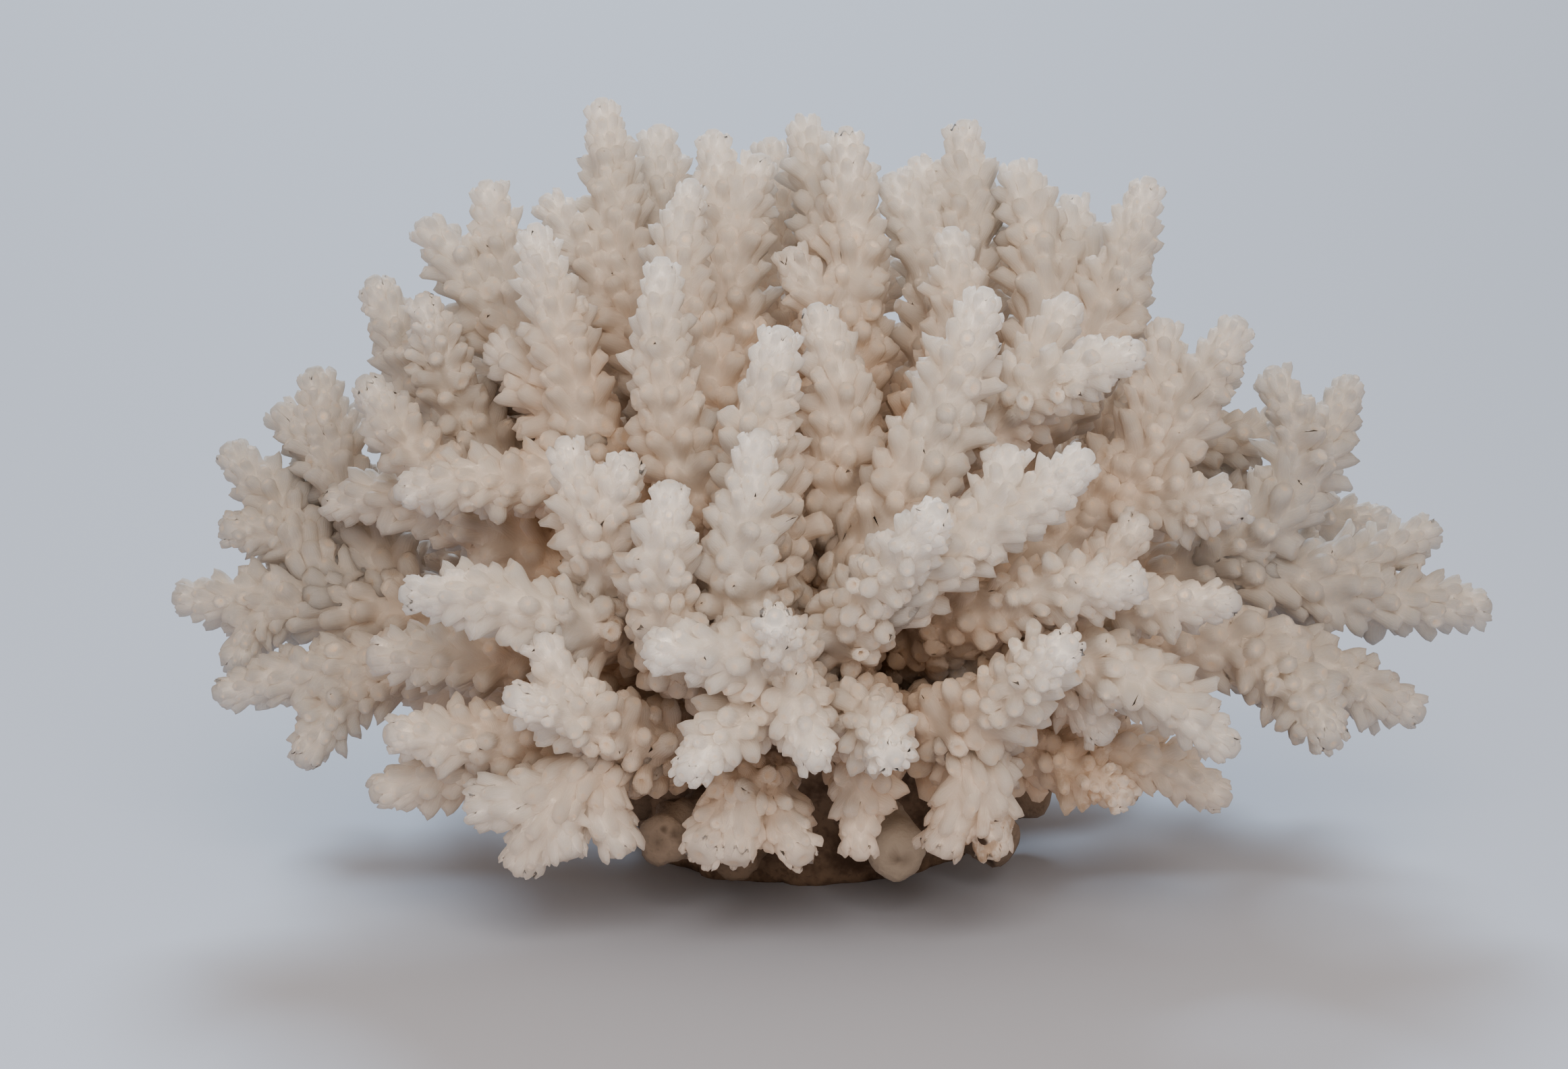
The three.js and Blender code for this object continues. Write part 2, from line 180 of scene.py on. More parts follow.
STUB_ENDS = [
    # x, y, z of the middle of each blunt stub's end, and how pale it is
    (-26, -43, 13, 0.35),
    (-15, -33, 7, 0.2),
    (10, -42, 10, 1.0),
    (26, -27, 8, 0.3),
    (34, -2, 9, 0.2),
    (22, 27, 8, 0.2),
    (-8, 35, 9, 0.2),
    (-36, 17, 9, 0.2),
    (-39, -12, 10, 0.2),
]
STUB_HOLES = [
    # holes in a stub's end, painted as dark spots of shade: x, y, z and radius
    (-29.2, -45.0, 16.4, 1.5),
    (-26.2, -46.0, 15.4, 1.2),
    (-27.6, -45.6, 12.4, 0.9),
]

STAINS = [
    # old brown patches, low down: x, y, z and radius
    (23, -58, 17, 6),
    (38, -51, 22, 7),
    (-81, -25, 28, 3),
]
HOLES = [
    # open holes in those patches, painted as dark spots of shade: x, y, z and radius
    (21.0, -61.0, 17.6, 1.2),
    (24.1, -61.0, 17.3, 1.0),
    (36.4, -53.0, 22.0, 1.8),
    (38.0, -53.0, 21.0, 1.1),
    (-81.0, -26.0, 27.5, 1.0),
]

# The branches: each path runs to its tip. A limb starts at its root point inside the crown, and a
# forked branch starts on the middle line of its parent, at a share of that line's length. A twig is
# [share along its own branch, tip x, y, z] and is fused to the branch. The branches are those of the
# construction. Of the twigs, four on back_high_middle and back_high_left are found only here, and one
# on back_high_middle ends elsewhere.
LIMBS = [
  {
    "name": "front_knob",
    "root": [-7, -16, 30],
    "path": [[-8, -46, 36], [-8, -64, 46], [-9, -78, 56]],
    "twigs": [[0.66, -27, -73, 50], [0.5, -22, -78, 33], [0.62, -3, -77, 34]],
  },
  {
    "name": "front_stem",
    "root": [-1, -12, 30],
    "path": [[2, -54, 48], [8, -67, 60], [14, -76, 71]],
  },
  {
    "name": "front_spear",
    "root": [0, -8, 34],
    "path": [[4, -38, 53], [11, -44, 67], [17, -45, 82], [22, -44, 97]],
  },
  {
    "name": "front_tall",
    "root": [-7, -12, 34],
    "path": [[-14, -55, 54], [-13, -60, 67], [-11, -61, 79]],
  },
  {
    "name": "upper_front",
    "root": [-5, -9, 38],
    "path": [[-11, -45, 62], [-11, -49, 77], [-8, -49, 92]],
  },
  {
    "name": "left_front_short",
    "root": [-11, -11, 30],
    "path": [[-24, -55, 47], [-25, -62, 60], [-24, -64, 72]],
  },
  {
    "name": "left_front_tall",
    "root": [-12, -8, 32],
    "path": [[-32, -43, 50], [-36, -50, 63], [-40, -51, 76]],
    "twigs": [[0.7, -30, -54, 74]],
  },
  {
    "name": "low_left_paddle",
    "root": [-11, -9, 22],
    "path": [[-29, -46, 29], [-39, -60, 37], [-47, -68, 42]],
    "twigs": [[0.72, -43, -60, 49]],
  },
  {
    "name": "low_front_fan",
    "blunt": True,
    "root": [-7, -10, 18],
    "path": [[-12, -44, 24], [-14, -57, 22], [-15, -62, 15.5]],
    "twigs": [[0.55, -5, -62, 16], [0.6, -20, -62, 16.5]],
  },
  {
    "name": "front_bud",
    "root": [-1, -10, 22],
    "path": [[3, -48, 33], [5, -66, 37], [8, -81, 36]],
    "twigs": [[0.5, 3.5, -62, 16]],
  },
  {
    "name": "right_front_paddle",
    "root": [4, -8, 22],
    "path": [[17, -49, 32], [26, -62, 41], [33, -73, 51]],
  },
  {
    "name": "right_front_wing",
    "root": [6, -8, 26],
    "path": [[30, -42, 42], [44, -57, 41], [58, -62, 32]],
    "twigs": [[0.5, 40, -52, 31]],
  },
  {
    "name": "low_right_spray",
    "root": [6, -6, 18],
    "path": [[30, -32, 25], [48, -43, 25], [59, -46, 20]],
    "twigs": [[0.42, 43.5, -50, 21.5]],
  },
  {
    "name": "right_low",
    "root": [8, -3, 24],
    "path": [[40, -16, 36], [62, -22, 38], [77, -24, 34], [91, -26, 28]],
    "twigs": [[0.64, 75, -42, 28]],
  },
  {
    "name": "right_long",
    "root": [8, 0, 27],
    "path": [[42, -5, 42], [66, -9, 47], [87, -10, 42.5], [104, -8, 41]],
    "twigs": [[0.66, 96, -3, 53]],
  },
  {
    "name": "right_near",
    "root": [5, -8, 30],
    "path": [[18, -40, 46], [32, -54, 54], [44, -62, 57]],
  },
  {
    "name": "right_side_near",
    "root": [7, -6, 29],
    "path": [[25, -29, 44], [44, -46, 50], [59, -52, 52]],
    "twigs": [[0.55, 46, -40, 62]],
  },
  {
    "name": "right_rise",
    "root": [6, -4, 33],
    "path": [[36, -15, 54], [50, -19, 68], [62, -21, 89]],
    "twigs": [[0.6, 51, -15, 88], [0.5, 62, -32, 62]],
  },
  {
    "name": "right_hook",
    "root": [3, -7, 36],
    "path": [[17, -25, 66], [27, -33, 78], [36, -39, 84], [45, -42, 88]],
    "twigs": [[0.62, 36, -26, 93]],
  },
  {
    "name": "top_right_broad",
    "root": [4, -1, 36],
    "path": [[24, -5, 60], [40, -8, 82], [49, -8, 109]],
    "twigs": [[0.45, 29, 5, 110], [0.6, 44, -18, 82], [0.55, 38, 8, 104]],
  },
  {
    "name": "top_front_right",
    "root": [0, -5, 38],
    "path": [[15, -14, 69], [19, -17, 89], [18, -14, 102]],
  },
  {
    "name": "top_right",
    "root": [2, 3, 37],
    "path": [[15, 4, 68], [21, 5, 96], [21, 10, 116]],
    "twigs": [[0.66, 13, 10, 110], [0.5, 9, 6, 108]],
  },
  {
    "name": "top_middle",
    "root": [-3, -2, 38],
    "path": [[2, -4, 72], [3, -5, 98], [2, 0, 116]],
    "twigs": [[0.5, -5, 13, 116], [0.42, -7, -9, 98]],
  },
  {
    "name": "top_left",
    "root": [-7, 1, 38],
    "path": [[-13, 0, 68], [-17, 0, 94], [-19, 5, 115]],
    "twigs": [[0.66, -11, 5, 111]],
  },
  {
    "name": "top_back_left",
    "root": [-7, 5, 36],
    "path": [[-20, 14, 70], [-27, 18, 98], [-28, 22, 114]],
  },
  {
    "name": "top_left_high",
    "root": [-10, 3, 36],
    "path": [[-24, 5, 66], [-33, 9, 92], [-37, 15, 119]],
    "twigs": [[0.5, -46, 10, 104]],
  },
  {
    "name": "top_front_left",
    "root": [-8, -4, 38],
    "path": [[-18, -15, 74], [-24, -16, 94], [-22, -11, 109]],
  },
  {
    "name": "upper_left_front",
    "root": [-8, -7, 36],
    "path": [[-22, -31, 66], [-26, -35, 84], [-26, -33, 100]],
  },
  {
    "name": "upper_middle",
    "root": [-4, -6, 40],
    "path": [[0, -31, 62], [1, -34, 78], [-3, -33, 93]],
  },
  {
    "name": "left_high",
    "root": [-12, 2, 33],
    "path": [[-36, 3, 60], [-49, 4, 82], [-55, 5, 107]],
    "twigs": [[0.6, -65, 3, 101]],
  },
  {
    "name": "left_high_front",
    "root": [-12, -5, 33],
    "path": [[-34, -17, 62], [-42, -18, 86], [-46, -17, 103]],
    "twigs": [[0.5, -53, -10, 84]],
  },
  {
    "name": "left_rise",
    "root": [-13, 1, 29],
    "path": [[-44, 3, 52], [-62, 3, 70], [-73, 2, 92]],
    "twigs": [[0.5, -64, -11, 91]],
  },
  {
    "name": "left_rise_low",
    "root": [-13, -4, 28],
    "path": [[-44, -12, 48], [-64, -15, 66], [-73, -16, 79]],
    "twigs": [[0.6, -80, -8, 58]],
  },
  {
    "name": "left_long",
    "root": [-14, 0, 25],
    "path": [[-48, -3, 37], [-80, -8, 41], [-104, -10, 43]],
    "twigs": [[0.8, -94, -17, 33]],
  },
  {
    "name": "left_low",
    "root": [-13, -5, 22],
    "path": [[-48, -18, 32], [-75, -21, 34], [-96, -24, 31]],
    "twigs": [[0.66, -82, -32, 22]],
  },
  {
    "name": "left_front_scaly",
    "root": [-12, -8, 27],
    "path": [[-34, -27, 35], [-54, -38, 40], [-70, -41, 41]],
  },
  {
    "name": "left_front_low",
    "root": [-11, -8, 20],
    "path": [[-36, -36, 26], [-54, -51, 31], [-66, -56, 33]],
    "twigs": [[0.5, -69, -50, 22]],
  },
  {
    "name": "back_low_right",
    "root": [5, 6, 24],
    "path": [[40, 26, 30], [66, 38, 32], [82, 44, 27]],
    "twigs": [[0.5, 78, 24, 34], [0.55, 62, 56, 26], [0.62, 90, 32, 45]],
  },
  {
    "name": "back_low_mid_right",
    "root": [2, 9, 22],
    "path": [[22, 46, 29], [38, 64, 31], [48, 74, 26]],
    "twigs": [[0.5, 28, 74, 24], [0.55, 56, 66, 42], [0.4, 32, 52, 13], [0.42, 19, 48, 47]],
  },
  {
    "name": "back_low_middle",
    "root": [-3, 10, 22],
    "path": [[-2, 44, 30], [0, 66, 32], [3, 82, 28]],
    "twigs": [[0.5, -16, 74, 24], [0.5, 13, 77, 45], [0.4, 2, 58, 13], [0.4, 7, 50, 51]],
  },
  {
    "name": "back_low_mid_left",
    "root": [-9, 9, 22],
    "path": [[-26, 44, 30], [-38, 62, 33], [-46, 72, 30]],
    "twigs": [[0.5, -30, 76, 26], [0.55, -56, 62, 44]],
  },
  {
    "name": "back_low_left",
    "root": [-13, 6, 23],
    "path": [[-44, 26, 32], [-68, 38, 34], [-84, 42, 30]],
    "twigs": [[0.5, -64, 54, 25], [0.5, -86, 22, 26], [0.6, -80, 46, 46]],
  },
  {
    "name": "back_right_long",
    "root": [8, 3, 27],
    "path": [[42, 12, 40], [68, 17, 48], [92, 16, 50]],
    "twigs": [[0.5, 66, 8, 27], [0.6, 84, 28, 56]],
  },
  {
    "name": "back_rise_right",
    "root": [6, 4, 30],
    "path": [[34, 20, 50], [54, 30, 62], [68, 34, 76]],
    "twigs": [[0.55, 80, 20, 64], [0.55, 60, 46, 62], [0.5, 52, 22, 76]],
  },
  {
    "name": "back_rise_mid_right",
    "root": [2, 8, 31],
    "path": [[16, 36, 50], [28, 52, 62], [34, 60, 74]],
    "twigs": [[0.5, 44, 58, 56], [0.5, 16, 64, 64]],
  },
  {
    "name": "back_rise_middle",
    "root": [-5, 9, 31],
    "path": [[-8, 38, 52], [-10, 54, 66], [-10, 62, 80]],
    "twigs": [[0.5, -2, 72, 58], [0.6, -24, 60, 76], [0.6, 5, 60, 82]],
  },
  {
    "name": "back_rise_mid_left",
    "root": [-10, 7, 30],
    "path": [[-28, 32, 48], [-40, 46, 62], [-46, 52, 74]],
    "twigs": [[0.5, -30, 60, 62], [0.5, -58, 50, 56]],
  },
  {
    "name": "back_rise_left",
    "root": [-13, 4, 28],
    "path": [[-46, 19, 46], [-66, 26, 58], [-80, 30, 66]],
    "twigs": [[0.5, -62, 40, 66], [0.5, -88, 22, 50]],
  },
  {
    "name": "back_high_right",
    "root": [2, 5, 36],
    "path": [[18, 22, 64], [28, 30, 84], [34, 34, 101]],
    "twigs": [[0.5, 46, 22, 92], [0.5, 22, 46, 88]],
  },
  {
    "name": "back_high_middle",
    "root": [-4, 6, 38],
    "path": [[-6, 22, 68], [-8, 28, 92], [-10, 31, 111]],
    "twigs": [
      [0.5, 6, 32, 106],
      [0.45, -8, 48, 94],
      [0.35, 12, 28, 91],
      [0.28, 13, 28, 77],
      [0.2, 11, 26, 67],
    ],
  },
  {
    "name": "back_high_left",
    "root": [-9, 6, 34],
    "path": [[-28, 22, 62], [-40, 30, 80], [-46, 33, 97]],
    "twigs": [[0.5, -30, 40, 92], [0.55, -60, 26, 86], [0.35, -55, 26, 66.5], [0.45, -60, 26, 75]],
  },
]

FORKS = [
  {
    "name": "front_right_arm",
    "parent": "front_stem",
    "at": 0.62,
    "path": [[18, -60, 63], [29, -60, 69], [36, -62, 76]],
    "twigs": [[0.5, 25, -57, 76]],
  },
  {
    "name": "left_front_reach",
    "parent": "left_front_tall",
    "at": 0.42,
    "path": [[-41, -52, 49], [-52, -58, 54], [-63, -60, 55]],
  },
  {
    "name": "low_left_fan",
    "blunt": True,
    "parent": "low_left_paddle",
    "at": 0.5,
    "path": [[-38, -55, 26], [-43, -58, 20], [-47, -58, 13]],
    "twigs": [[0.35, -31.5, -56, 15], [0.5, -54, -56, 22], [0.6, -39.5, -60, 15.5]],
  },
  {
    "name": "low_right_fan",
    "blunt": True,
    "parent": "right_front_paddle",
    "at": 0.52,
    "path": [[21, -57, 27], [23.5, -57, 15]],
    "twigs": [[0.3, 15, -60, 16]],
  },
  {
    "name": "right_fork_high",
    "parent": "right_long",
    "at": 0.5,
    "path": [[70, -12, 58], [77, -8, 68], [82, -4, 77]],
    "twigs": [[0.5, 68, -13, 80]],
  },
  {
    "name": "left_fork_high",
    "parent": "left_long",
    "at": 0.56,
    "path": [[-74, 1, 50], [-80, 4, 64], [-83, 5, 77]],
    "twigs": [[0.5, -89, 4, 71]],
  },
  {
    "name": "left_fork_low",
    "parent": "left_long",
    "at": 0.68,
    "path": [[-86, 0, 52], [-97, 2, 65]],
    "twigs": [[0.35, -96, -9, 54]],
  },
  {
    "name": "left_cross",
    "parent": "left_high_front",
    "at": 0.5,
    "path": [[-44, -27, 65], [-55, -33, 66], [-66, -35, 65]],
  },
]


def unit(vectors):
    return vectors / np.linalg.norm(vectors, axis=-1, keepdims=True)


def smooth_step(value):
    clipped = np.clip(value, 0, 1)
    return clipped * clipped * (3 - 2 * clipped)


def spline(points):
    """Closely spaced places along the centripetal Catmull-Rom line through the points."""
    knots = np.vstack([2 * points[0] - points[1], points, 2 * points[-1] - points[-2]])
    t = np.linspace(0, 1, SPLINE_STEPS, endpoint=False)[:, None]
    stretches = []
    for a, b, c, d in zip(knots, knots[1:], knots[2:], knots[3:]):
        ab, bc, cd = (math.sqrt(np.linalg.norm(v)) for v in (b - a, c - b, d - c))
        leave = ((b - a) / ab - (c - a) / (ab + bc) + (c - b) / bc) * bc
        arrive = ((c - b) / bc - (d - b) / (bc + cd) + (d - c) / cd) * bc
        square = 3 * (c - b) - 2 * leave - arrive
        cube = leave + arrive - 2 * (c - b)
        stretches.append(b + leave * t + square * t**2 + cube * t**3)
    return np.vstack([*stretches, points[-1:]])


class Line:
    """A branch's middle line, measured by length, with a frame that doesn't turn about it."""

    def __init__(self, points):
        dense = spline(np.asarray(points, float))
        along = np.concatenate([[0], np.cumsum(np.linalg.norm(np.diff(dense, axis=0), axis=1))])
        self.length = along[-1]
        self.at = np.linspace(0, self.length, int(self.length / LINE_STEP) + 2)
        self.centre = np.stack([np.interp(self.at, along, dense[:, k]) for k in range(3)], 1)
        self.tangent = unit(np.gradient(self.centre, axis=0))
        across = np.cross(self.tangent[0], (0.31, 0.87, 0.38))
        normals = []
        for tangent in self.tangent:
            across = unit(across - tangent * (across @ tangent))
            normals.append(across)
        self.normal = np.array(normals)

    def frame(self, lengths):
        """Centre, tangent, normal and binormal at each length along the line."""
        centre, tangent, normal = (
            np.stack([np.interp(lengths, self.at, rows[:, k]) for k in range(3)], -1)
            for rows in (self.centre, self.tangent, self.normal)
        )
        tangent = unit(tangent)
        normal = unit(normal - tangent * (normal * tangent).sum(-1, keepdims=True))
        return centre, tangent, normal, np.cross(tangent, normal)


def side_line(parent, share, points):
    """The middle line of a side branch: it leaves its parent's line leaning the parent's way."""
    start, tangent, _, _ = parent.frame(np.array(share * parent.length))
    reach = np.asarray(points[0], float) - start
    lead = tangent * np.linalg.norm(reach)
    bend = start + reach * FORK_RUN + lead * FORK_RUN / 2
    return Line([start, bend, *points])


class Surface:
    """Points, faces and per-point values of one mesh while it is put together."""

    # painted shade between cups; painted shade deep inside a cup or a pit; near a branch's tip or on a
    # pale stub
    LABELS = ("hollow", "calice", "tip")

    def __init__(self):
        self.points = []
        self.values = {label: [] for label in self.LABELS}
        self.faces = []
        self.ribs = []  # for each corner of each face, its place round its ring, counted in points
        self.count = 0

    def add_points(self, points, **values):
        """Adds points and returns their indices, in the same array shape."""
        shape = points.shape[:-1]
        amount = int(np.prod(shape))
        self.points.append(points.reshape(-1, 3))
        for label in self.LABELS:
            self.values[label].append(np.broadcast_to(values.get(label, 0.0), shape).reshape(-1))
        first = self.count
        self.count += amount
        return np.arange(first, self.count).reshape(shape)

    def join(self, low, high):
        """Faces between rings of the same size: arrays (..., corners)."""
        quads = np.stack([low, np.roll(low, -1, -1), np.roll(high, -1, -1), high], -1)
        self.faces.extend(quads.reshape(-1, 4).tolist())
        step = np.arange(low.shape[-1], dtype=float)
        around = np.stack([step, step + 1, step + 1, step], -1)
        self.ribs.append(np.broadcast_to(around, quads.shape).reshape(-1))

    def close(self, ring, middle):
        """A fan from a ring (..., corners) to its middle point (...)."""
        centre = np.broadcast_to(middle[..., None], ring.shape)
        fan = np.stack([ring, np.roll(ring, -1, -1), centre], -1)
        self.faces.extend(fan.reshape(-1, 3).tolist())
        step = np.arange(ring.shape[-1], dtype=float)
        around = np.stack([step, step + 1, step + 0.5], -1)
        self.ribs.append(np.broadcast_to(around, fan.shape).reshape(-1))

    def stain(self):
        """How much of an old brown patch lies at each point: 0 to 1."""
        points = np.concatenate(self.points)
        share = np.zeros(len(points))
        for x, y, z, radius in STAINS:
            away = np.linalg.norm(points - (x, y, z), axis=1)
            share = np.maximum(share, smooth_step(1.5 - away / radius))
        return share

    def mesh(self, name):
        mesh = bpy.data.meshes.new(name)
        points = (np.concatenate(self.points) + SHIFT) * MM
        mesh.from_pydata(points.tolist(), [], self.faces)
        values = {label: np.concatenate(parts) for label, parts in self.values.items()}
        values["stain"] = self.stain()
        for label, numbers in values.items():
            attribute = mesh.attributes.new(label, "FLOAT", "POINT")
            attribute.data.foreach_set("value", numbers.astype(np.float32))
        ribs = mesh.attributes.new("rib", "FLOAT", "CORNER")
        ribs.data.foreach_set("value", np.concatenate(self.ribs).astype(np.float32))
        mesh.shade_smooth()
        return mesh


# A cup's corners round its cell of the honeycomb, in quarters of a cell's width and sixths of a row.
CELL_CORNERS = [(2, 0), (2, 2), (0, 4), (-2, 2), (-2, 0), (-2, -2), (0, -4), (2, -2)]
CELL_REACH = (2.0, 3.5)  # of a round rim in its cell, in the same units
LOW_EDGE = [(-2, -2), (0, -4)]
HIGH_EDGE = [(-2, 2), (0, 4)]


class Growth:
    """A closed tube along a line, covered with cups that lean towards its tip."""

    def __init__(self, surface, line, around, bare_root, rng, blunt=False):
        self.surface = surface
        self.blunt = blunt
        self.tip_radius = TIP_RADIUS * (BLUNT_TIP if blunt else 1)
        self.line = line
        self.around = around
        self.bare_root = bare_root
        self.rng = rng
        self.twist = rng.uniform(-0.02, 0.02)
        self.phase = rng.uniform(0, 2 * math.pi)
        self.stoutness = rng.uniform(*STOUTNESS)
        self.turn = 4 * around
        self.row_lengths = self.place_rows()
        self.lay_honeycomb()
        self.grow_cups()
        self.close_root()
        self.close_tip()

    def radius_at(self, lengths):
        widened = np.clip((self.line.length - lengths) / WIDENING, 0, 1) ** WIDENING_POWER
        return (self.tip_radius + (FULL_RADIUS - self.tip_radius) * widened) * self.stoutness

    def cup_width(self, lengths):
        return 2 * math.pi * (self.radius_at(lengths) + CUP_MIDDLE) / self.around

    def place_rows(self):
        """The lengths of the rows of cups, from the root's to the tip's."""
        at = self.line.length - AXIAL_LENGTH
        rows = [at]
        while True:
            at = rows[-1] - ROW_PITCH * self.cup_width(rows[-1])
            if at < self.bare_root and len(rows) > 1:
                return np.array(rows[::-1])
            rows.append(at)

    def length_of(self, row):
        """The length at a row, also at a part of a row past either end."""
        lengths = self.row_lengths
        last = len(lengths) - 1
        inside = np.interp(row, np.arange(last + 1), lengths)
        before = np.minimum(row, 0) * (lengths[1] - lengths[0])
        after = np.maximum(row - last, 0) * (lengths[-1] - lengths[-2])
        return inside + before + after

    def on_core(self, lengths, angles, extra=0.0):
        """Places on the branch under its cups, with their outward and tipward directions."""
        centre, tangent, normal, binormal = self.line.frame(lengths)
        out = normal * np.cos(angles)[..., None] + binormal * np.sin(angles)[..., None]
        waves = np.sin(2 * angles + SLOW_WAVE * lengths + self.phase)
        waves = waves + np.sin(FAST_WAVE * lengths - angles - self.phase)
        radius = self.radius_at(lengths) * (1 + SWELLING / 2 * waves) + extra
        return centre + out * radius[..., None], out, tangent

    def angle_of(self, quarters, lengths):
        return quarters / self.turn * 2 * np.pi + self.twist * lengths

    def lay_honeycomb(self):
        """The corners that neighbouring cups share, keyed by quarter cells round and sixths of a row."""
        rows = len(self.row_lengths)
        self.cells = []
        for row in range(rows):
            self.cells.extend((4 * k + 2 * (row % 2), 6 * row) for k in range(self.around))
        self.keys = {}
        corner_ids = np.array([self.corners_of(u, v) for u, v in self.cells])
        grid = np.array(list(self.keys), float)
        shift = self.rng.normal(0, 1, grid.shape) * CORNER_SHIFT * self.freedom(grid[:, 1:] / 6)
        place = grid + shift
        lengths = self.length_of(place[:, 1] / 6)
        fill = np.clip(self.rng.normal(VALLEY_FILL, SKIN_SHIFT, len(grid)), 0, 1.6)
        corners, _, _ = self.on_core(lengths, self.angle_of(place[:, 0], lengths), fill)
        self.corner_index = self.surface.add_points(corners, hollow=1.0, tip=self.tip_share(lengths))
        self.rims = self.corner_index[corner_ids]
        self.rim_offsets = np.array(CELL_CORNERS) + shift[corner_ids]

    def corners_of(self, quarter, sixth):
        """The numbers of a cell's corners. A corner gets its number when it is first met."""
        numbers = []
        for du, dv in CELL_CORNERS:
            key = ((quarter + du) % self.turn, sixth + dv)
            numbers.append(self.keys.setdefault(key, len(self.keys)))
        return numbers

    def freedom(self, row):
        """How unevenly the cups lie: less near the tip, where they are small."""
        return 1 - 0.7 * self.tip_share(self.length_of(row))

    def tip_share(self, lengths):
        return smooth_step(1 - (self.line.length - lengths) / YOUNG_REACH)

    def grow_cups(self):
        """Every cup: a skirt, a dome and a crest over its cell, and a lip round its opening."""
        cells = np.array(self.cells, float)
        shift = self.rng.normal(0, 1, cells.shape) * MIDDLE_SHIFT * self.freedom(cells[:, 1:] / 6)
        self.middles = cells + shift
        self.offsets = self.rim_offsets - shift[:, None, :]
        self.shape_cups(self.length_of(self.middles[:, 1] / 6))
        skirt = self.cup_ring(0.86, height=0.26, roundness=0.6, hollow=0.55)
        dome = self.cup_ring(0.77, height=0.7, hollow=0.15)
        crest = self.cup_ring(self.shoulder, height=np.where(self.ringlike, 0.96, 0.88))
        lip = self.cup_ring(self.opening, height=1.0, calice=0.2)
        floor = self.cup_floor()
        rings = [self.rims, skirt, dome, crest, lip]
        for low, high in zip(rings, rings[1:]):
            self.surface.join(low, high)
        self.surface.close(lip, floor)

    def shape_cups(self, lengths):
        """How far each cup reaches, how it leans and how open it is."""
        rng = self.rng
        amount = len(lengths)
        from_tip = self.line.length - lengths
        from_root = smooth_step((lengths - self.bare_root) / ROOT_RISE + ROOT_HEAD_START)
        grown = from_root if self.bare_root > FORK_BARE_ROOT else np.ones(amount)
        near_tip = smooth_step(1 - (from_tip - AXIAL_LENGTH) / SHORT_CUPS_REACH)
        high_up = smooth_step(1 - from_tip / LONG_CUPS_REACH)
        kind = rng.random(amount)
        tubular = kind < TUBULAR_SHARE
        facing = (kind > 1 - FACING_SHARE) & (near_tip < 0.5)
        self.ringlike = facing | tubular
        self.width = np.where(tubular, TUBULAR_WIDTH, 1.0)
        size = np.clip(rng.normal(1.0, SIZE_SPREAD, amount), *SIZE_RANGE)
        reach = CUP_REACH * self.cup_width(lengths) * size
        reach = reach * (LOW_CUPS + HIGH_CUPS_GAIN * high_up) * (ROOT_CUPS + ROOT_CUPS_GAIN * grown)
        reach = reach * (1 - TIP_CUPS_LOSS * near_tip)
        self.reach = reach * np.where(tubular, TUBULAR_REACH, np.where(facing, FACING_REACH, 1.0))
        lean = CUP_LEAN + rng.normal(0, LEAN_SPREAD, amount) + TIP_LEAN * near_tip
        self.lean = np.where(facing, FACING_LEAN, lean)
        if self.blunt:
            self.reach = self.reach * BLUNT_REACH
            self.lean = self.lean + BLUNT_LEAN
        self.sway = rng.normal(0, SWAY_SPREAD, amount) * (1 - 0.7 * near_tip)
        self.shoulder = np.where(self.ringlike, RING_SHOULDER, SHOULDER)
        self.opening = np.where(self.ringlike, RING_OPENING, rng.uniform(*OPENING, amount))
        self.slant = np.where(facing, 0.0, rng.uniform(*SLANT, amount))
        self.floor_height = np.where(self.ringlike, RING_FLOOR, CUP_FLOOR)
        self.upward = SLANT_RISE * self.slant
        self.white = self.tip_share(lengths)

    def cup_ring(self, share, height, roundness=1.0, hollow=0.0, calice=0.0):
        """One ring of every cup: share is how far out in its cell, height a share of its reach."""
        phi = np.arange(len(CELL_CORNERS)) / len(CELL_CORNERS) * 2 * np.pi
        round_rim = np.stack([np.cos(phi), np.sin(phi)], 1) * CELL_REACH
        height = np.broadcast_to(height, len(self.reach))[:, None]
        outline = self.offsets * (1 - roundness) + round_rim * roundness
        place = self.middles[:, None, :] + outline * (share * self.width)[:, None, None]
        place[:, :, 1] += self.upward[:, None] * roundness * height
        at = self.length_of(place[:, :, 1] / 6)
        base, out, tangent = self.on_core(at, self.angle_of(place[:, :, 0], at))
        rise = self.reach[:, None] * height * (1 - self.slant[:, None] * roundness * np.sin(phi))
        lean = self.lean[:, None, None]
        push = out * np.cos(lean) + tangent * np.sin(lean)
        push = push + np.cross(tangent, out) * self.sway[:, None, None]
        ring = base + push * rise[:, :, None]
        return self.surface.add_points(ring, hollow=hollow, calice=calice, tip=self.white[:, None])

    def cup_floor(self):
        """The middle of every cup's opening."""
        at = self.length_of((self.middles[:, 1] + self.upward) / 6)
        base, out, tangent = self.on_core(at, self.angle_of(self.middles[:, 0], at))
        push = out * np.cos(self.lean)[:, None] + tangent * np.sin(self.lean)[:, None]
        floor = base + push * (self.reach * self.floor_height)[:, None]
        return self.surface.add_points(floor, hollow=0.6, calice=1.0, tip=self.white)

    def edge(self, offsets, row):
        """The honeycomb's zigzag edge at one end: its points and their places round the branch."""
        start = 2 * (row % 2)
        walk = [(4 * k + start + du, 6 * row + dv) for k in range(self.around) for du, dv in offsets]
        index = [self.keys[(u % self.turn, v)] for u, v in walk]
        return self.corner_index[np.array(index)], np.array([u for u, _ in walk], float)

